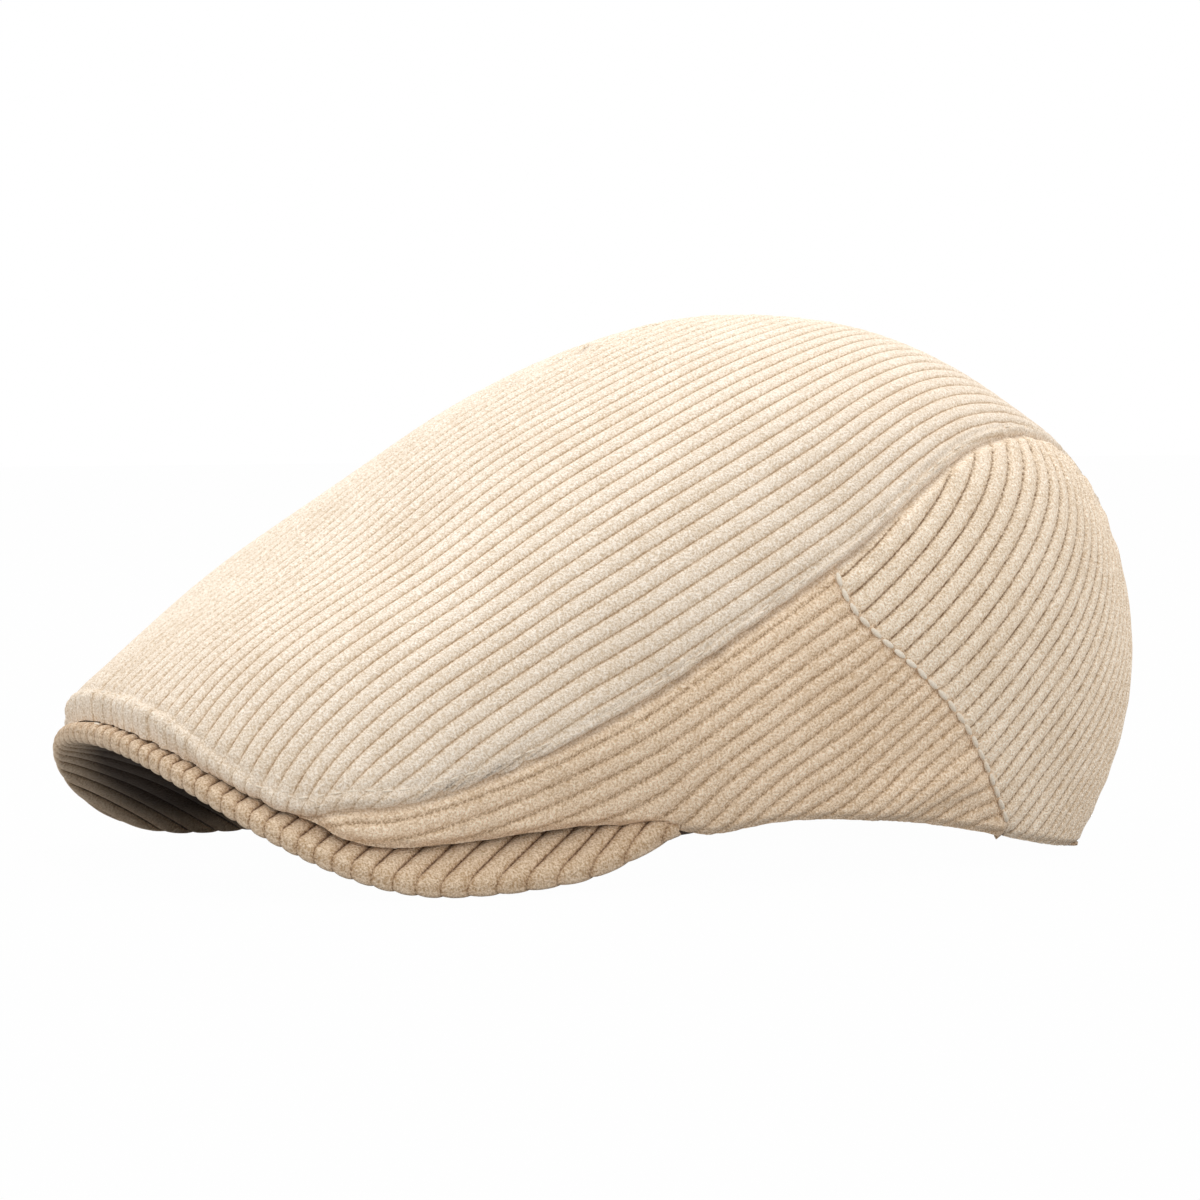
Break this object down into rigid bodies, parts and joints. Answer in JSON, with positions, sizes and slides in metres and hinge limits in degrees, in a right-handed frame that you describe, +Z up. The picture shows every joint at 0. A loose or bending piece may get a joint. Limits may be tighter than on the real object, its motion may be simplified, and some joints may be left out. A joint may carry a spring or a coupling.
{
  "type": "flat cap",
  "caption": "Corduroy flat cap with a small stiff curved visor, panelled crown, lining and sweatband.",
  "frame": {"origin": "under the middle of the cap's bounding box, on the surface that its visor corners and back hem rest on", "axes": "+Z up, the visor points to -Y, the wearer's left is +X"},
  "size_m": [0.176, 0.2689, 0.1339],
  "materials": {
    "corduroy": "matte wide-wale corduroy",
    "visor_corduroy": "matte wide-wale corduroy",
    "thread": "twisted sewing thread",
    "lining_satin": "smooth satin lining",
    "sweatband_twill": "matte cotton twill",
    "interlining_felt": "matte non-woven felt",
    "board": "matte sheet plastic"
  },
  "bodies": {
    "root": {"top_panel": "corduroy", "left_side_panel": "corduroy", "right_side_panel": "corduroy", "left_back_panel": "corduroy", "right_back_panel": "corduroy", "visor_top_cover": "visor_corduroy", "visor_under_cover": "visor_corduroy", "visor_board": "board", "crown_interlining": "interlining_felt", "lining_top": "lining_satin", "left_lining_side": "lining_satin", "right_lining_side": "lining_satin", "sweatband": "sweatband_twill", "left_edge_stitching": "thread", "right_edge_stitching": "thread", "left_seam_stitching": "thread", "right_seam_stitching": "thread", "sweatband_stitching": "thread", "visor_tacks": "thread"}
  },
  "joints": []
}
